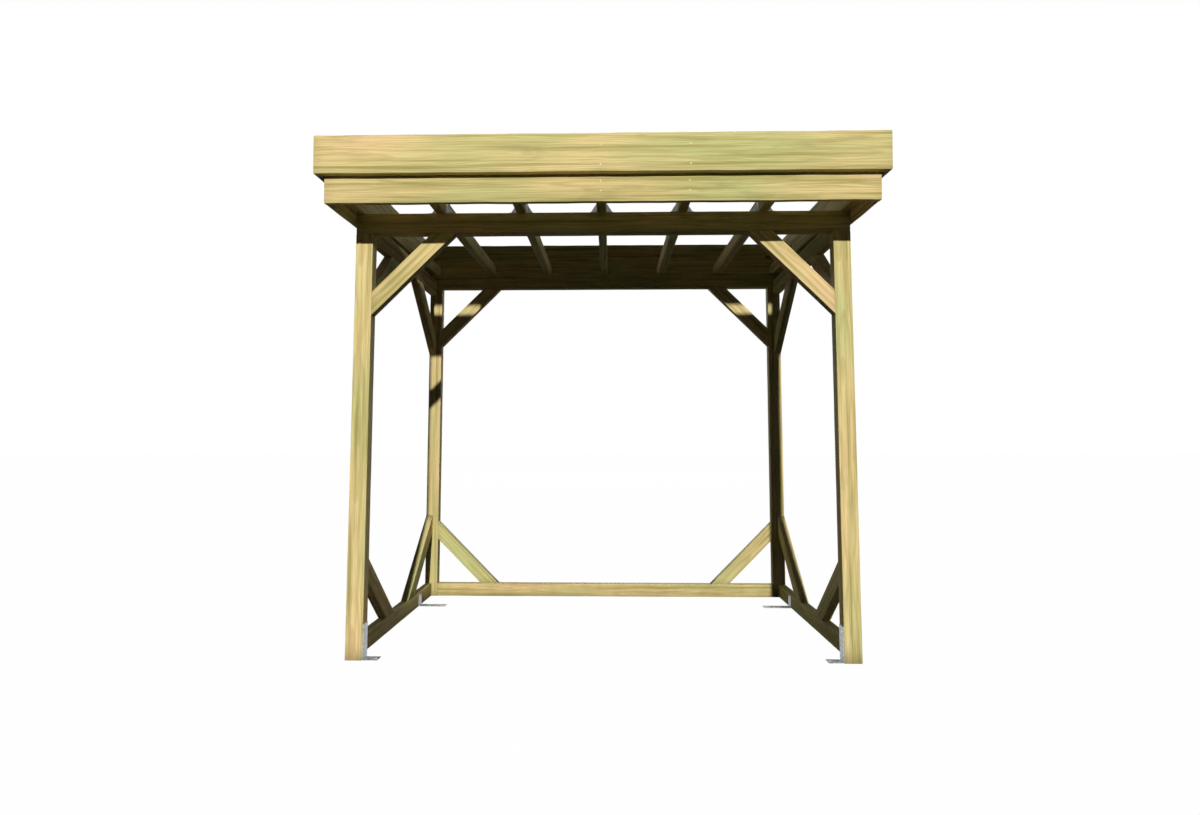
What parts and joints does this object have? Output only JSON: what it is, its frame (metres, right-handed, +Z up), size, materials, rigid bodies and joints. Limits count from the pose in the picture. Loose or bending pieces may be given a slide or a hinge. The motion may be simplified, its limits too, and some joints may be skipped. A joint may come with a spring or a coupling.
{
  "type": "log store frame",
  "caption": "Open timber log store frame with corner posts, knee braces, bottom rails on three sides, open rafters and a stepped fascia all round.",
  "frame": {"origin": "floor level under the middle of the roof outline", "axes": "+Z up, -Y out of the open front, +X to the right when facing the back from the front"},
  "size_m": [2.14, 1.4006, 2.0613],
  "materials": {
    "treated_pine": "planed pressure-treated pine, dry and matt",
    "galvanised_steel": "galvanised, dull"
  },
  "bodies": {
    "root": {"post_front_left": "treated_pine", "post_front_right": "treated_pine", "post_back_left": "treated_pine", "post_back_right": "treated_pine", "beam_front": "treated_pine", "beam_back": "treated_pine", "beam_left": "treated_pine", "beam_right": "treated_pine", "rail_back": "treated_pine", "rail_left": "treated_pine", "rail_right": "treated_pine", "brace_front_left": "treated_pine", "brace_front_right": "treated_pine", "brace_back_left": "treated_pine", "brace_back_right": "treated_pine", "brace_left_front": "treated_pine", "brace_left_back": "treated_pine", "brace_right_front": "treated_pine", "brace_right_back": "treated_pine", "low_brace_back_left": "treated_pine", "low_brace_back_right": "treated_pine", "low_brace_left_front": "treated_pine", "low_brace_left_back": "treated_pine", "low_brace_right_front": "treated_pine", "low_brace_right_back": "treated_pine", "rafter_1": "treated_pine", "rafter_2": "treated_pine", "rafter_3": "treated_pine", "rafter_4": "treated_pine", "rafter_5": "treated_pine", "rafter_6": "treated_pine", "rafter_7": "treated_pine", "fascia_low_front": "treated_pine", "fascia_low_back": "treated_pine", "fascia_low_left": "treated_pine", "fascia_low_right": "treated_pine", "fascia_top_front": "treated_pine", "fascia_top_back": "treated_pine", "fascia_top_left": "treated_pine", "fascia_top_right": "treated_pine", "foot_bracket_front_left": "galvanised_steel", "foot_bracket_front_right": "galvanised_steel", "foot_bracket_back_left": "galvanised_steel", "foot_bracket_back_right": "galvanised_steel", "rafter_cleats": "galvanised_steel"}
  },
  "joints": []
}
